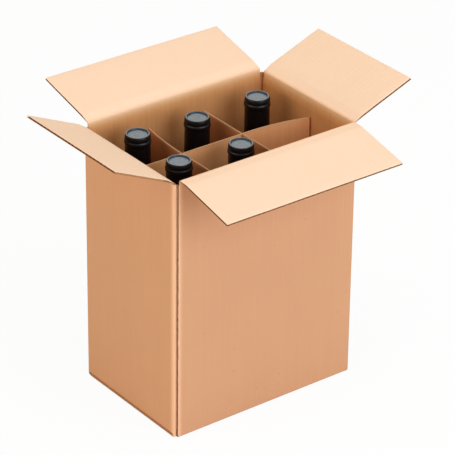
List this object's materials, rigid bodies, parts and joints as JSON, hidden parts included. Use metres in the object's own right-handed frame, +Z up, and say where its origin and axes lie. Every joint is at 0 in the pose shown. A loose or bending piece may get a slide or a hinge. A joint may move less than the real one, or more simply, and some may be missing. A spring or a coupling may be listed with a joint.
{
  "type": "bottle shipping box",
  "caption": "Open corrugated shipping carton with hinged top flaps and a slotted cell divider holding capsuled glass bottles.",
  "frame": {"origin": "middle of the carton's base, on the floor that it stands on", "axes": "+Z up, -Y out of the long front wall, -X towards the front wall's glued end"},
  "size_m": [0.3998, 0.3332, 0.3521],
  "materials": {
    "carton_board": "matte",
    "divider_board": "matte",
    "bottle_glass": "gloss",
    "capsule_foil": "satin"
  },
  "bodies": {
    "carton": {"carton_body": "carton_board", "divider_long": "divider_board", "divider_cross_left": "divider_board", "divider_cross_right": "divider_board", "bottle_back_left": "bottle_glass", "bottle_back_middle": "bottle_glass", "bottle_back_right": "bottle_glass", "bottle_front_left": "bottle_glass", "bottle_front_middle": "bottle_glass", "capsule_back_left": "capsule_foil", "capsule_back_middle": "capsule_foil", "capsule_back_right": "capsule_foil", "capsule_front_left": "capsule_foil", "capsule_front_middle": "capsule_foil"},
    "front_flap": {"flap_front": "carton_board"},
    "back_flap": {"flap_back": "carton_board"},
    "left_flap": {"flap_left": "carton_board"},
    "right_flap": {"flap_right": "carton_board"}
  },
  "joints": [
    {"name": "front_flap_crease", "type": "hinge", "parent": "carton", "child": "front_flap", "pos_m": [0, -0.0845, 0.3177], "axis": [1, 0, 0], "range_deg": [-192.4, 67.6]},
    {"name": "back_flap_crease", "type": "hinge", "parent": "carton", "child": "back_flap", "pos_m": [0, 0.0845, 0.3177], "axis": [-1, 0, 0], "range_deg": [-166, 94]},
    {"name": "left_flap_crease", "type": "hinge", "parent": "carton", "child": "left_flap", "pos_m": [-0.1225, 0, 0.3144], "axis": [0, -1, 0], "range_deg": [-155.4, 104.6]},
    {"name": "right_flap_crease", "type": "hinge", "parent": "carton", "child": "right_flap", "pos_m": [0.1225, 0, 0.3144], "axis": [0, 1, 0], "range_deg": [-159, 101]}
  ]
}
